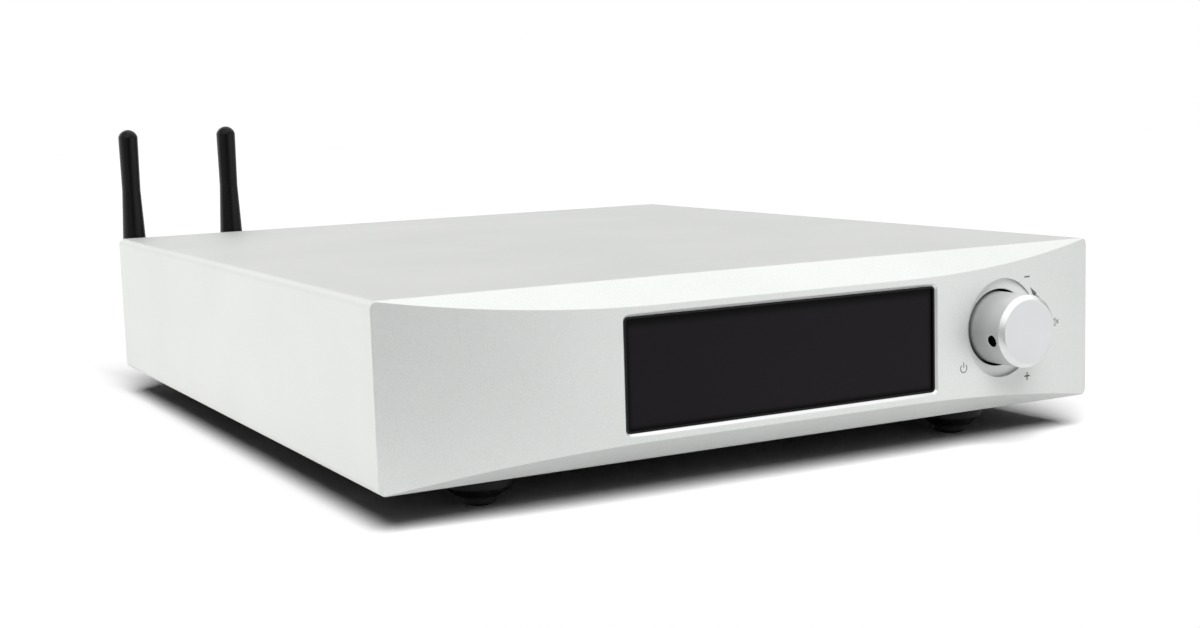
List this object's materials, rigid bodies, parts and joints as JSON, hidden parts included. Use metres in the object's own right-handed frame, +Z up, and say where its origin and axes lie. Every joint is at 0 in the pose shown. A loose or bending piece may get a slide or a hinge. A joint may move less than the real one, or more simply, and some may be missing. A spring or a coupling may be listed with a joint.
{
  "type": "network music streamer",
  "caption": "Flat half-width audio streamer in a silver case with a bowed front, wide dark display window, push-and-turn volume knob, rear sockets and hinged antennas.",
  "frame": {"origin": "under the middle of the whole part, on the plane that its feet stand on", "axes": "+X to the right of somebody facing the front, +Y to the back, +Z up"},
  "size_m": [0.235, 0.3008, 0.1001],
  "materials": {
    "silver_anodised": "bead blasted and clear anodised, satin",
    "black_plastic": "moulded, fine texture",
    "smoked_lens": "polished smoked acrylic",
    "display_face": "switched-off panel",
    "black_rubber": "moulded",
    "black_painted_steel": "fine textured powder coat",
    "zinc_steel": "zinc plated",
    "nickel_shell": "nickel plated",
    "brass_gilt": "plated",
    "circuit_board": "solder mask",
    "black_aluminium": "black anodised extrusion",
    "coil_tape": "wound tape over a ferrite core",
    "can_sleeve": "shrunk sleeve",
    "white_plastic": "moulded",
    "lead_sleeve": "extruded sleeve"
  },
  "bodies": {
    "chassis": {"front_panel": "silver_anodised", "display_bezel": "black_plastic", "display_lens": "smoked_lens", "display_module": "display_face", "display_spacers": "brass_gilt", "front_frame": "zinc_steel", "panel_screws": "zinc_steel", "encoder_body": "black_plastic", "encoder_nut": "zinc_steel", "top_cover": "silver_anodised", "base_plate": "black_painted_steel", "rear_panel": "black_painted_steel", "base_screws": "zinc_steel", "rear_screws": "zinc_steel", "foot_front_left": "black_plastic", "foot_front_right": "black_plastic", "foot_rear_left": "black_plastic", "foot_rear_right": "black_plastic", "pad_front_left": "black_rubber", "pad_front_right": "black_rubber", "pad_rear_left": "black_rubber", "pad_rear_right": "black_rubber", "foot_screws": "zinc_steel", "main_board": "circuit_board", "processor_module": "circuit_board", "heat_sink": "black_aluminium", "wifi_module": "circuit_board", "power_board": "circuit_board", "power_transformer": "coil_tape", "power_capacitors": "can_sleeve", "board_standoffs": "brass_gilt", "board_screws": "zinc_steel", "display_ribbon": "white_plastic", "encoder_lead": "lead_sleeve", "wifi_pigtails": "lead_sleeve", "power_leads": "lead_sleeve", "mains_inlet": "black_plastic", "inlet_pins": "nickel_shell", "switch_frame": "black_plastic", "lan_socket": "nickel_shell", "usb_socket": "nickel_shell", "optical_socket": "black_plastic", "coax_socket": "brass_gilt", "xlr_socket": "nickel_shell", "socket_screws": "zinc_steel", "antenna_jacks": "brass_gilt", "antenna_nuts": "brass_gilt", "antenna_collars": "black_plastic"},
    "push_plunger": {"encoder_plunger": "white_plastic"},
    "knob": {"volume_knob": "silver_anodised", "knob_set_screw": "black_painted_steel", "encoder_shaft": "zinc_steel"},
    "rocker": {"switch_rocker": "black_plastic"},
    "antenna_left_fork": {"antenna_left_elbow": "black_plastic", "antenna_left_pin": "zinc_steel"},
    "antenna_left_arm": {"antenna_left_mast": "black_plastic"},
    "antenna_right_fork": {"antenna_right_elbow": "black_plastic", "antenna_right_pin": "zinc_steel"},
    "antenna_right_arm": {"antenna_right_mast": "black_plastic"}
  },
  "joints": [
    {"name": "knob_push", "type": "slide", "parent": "chassis", "child": "push_plunger", "axis": [0, 1, 0], "range_m": [0, 0.0006], "stiffness_N_per_m": 3000, "springref_m": -0.0001},
    {"name": "knob_turn", "type": "hinge", "parent": "push_plunger", "child": "knob", "pos_m": [0.0779, -0.13235, 0.0357], "axis": [0, 1, 0], "continuous": true},
    {"name": "rocker_tilt", "type": "hinge", "parent": "chassis", "child": "rocker", "pos_m": [0.04542, 0.12665, 0.035], "axis": [1, 0, 0], "range_deg": [0, 20]},
    {"name": "antenna_left_swivel", "type": "hinge", "parent": "chassis", "child": "antenna_left_fork", "pos_m": [-0.1078, 0.13675, 0.0425], "axis": [0, 1, 0], "range_deg": [-90, 12]},
    {"name": "antenna_left_fold", "type": "hinge", "parent": "antenna_left_fork", "child": "antenna_left_arm", "pos_m": [-0.1078, 0.14555, 0.0425], "axis": [-1, 0, 0], "range_deg": [0, 90]},
    {"name": "antenna_right_swivel", "type": "hinge", "parent": "chassis", "child": "antenna_right_fork", "pos_m": [-0.0694, 0.13675, 0.0425], "axis": [0, 1, 0], "range_deg": [-12, 90]},
    {"name": "antenna_right_fold", "type": "hinge", "parent": "antenna_right_fork", "child": "antenna_right_arm", "pos_m": [-0.0694, 0.14555, 0.0425], "axis": [-1, 0, 0], "range_deg": [0, 90]}
  ]
}
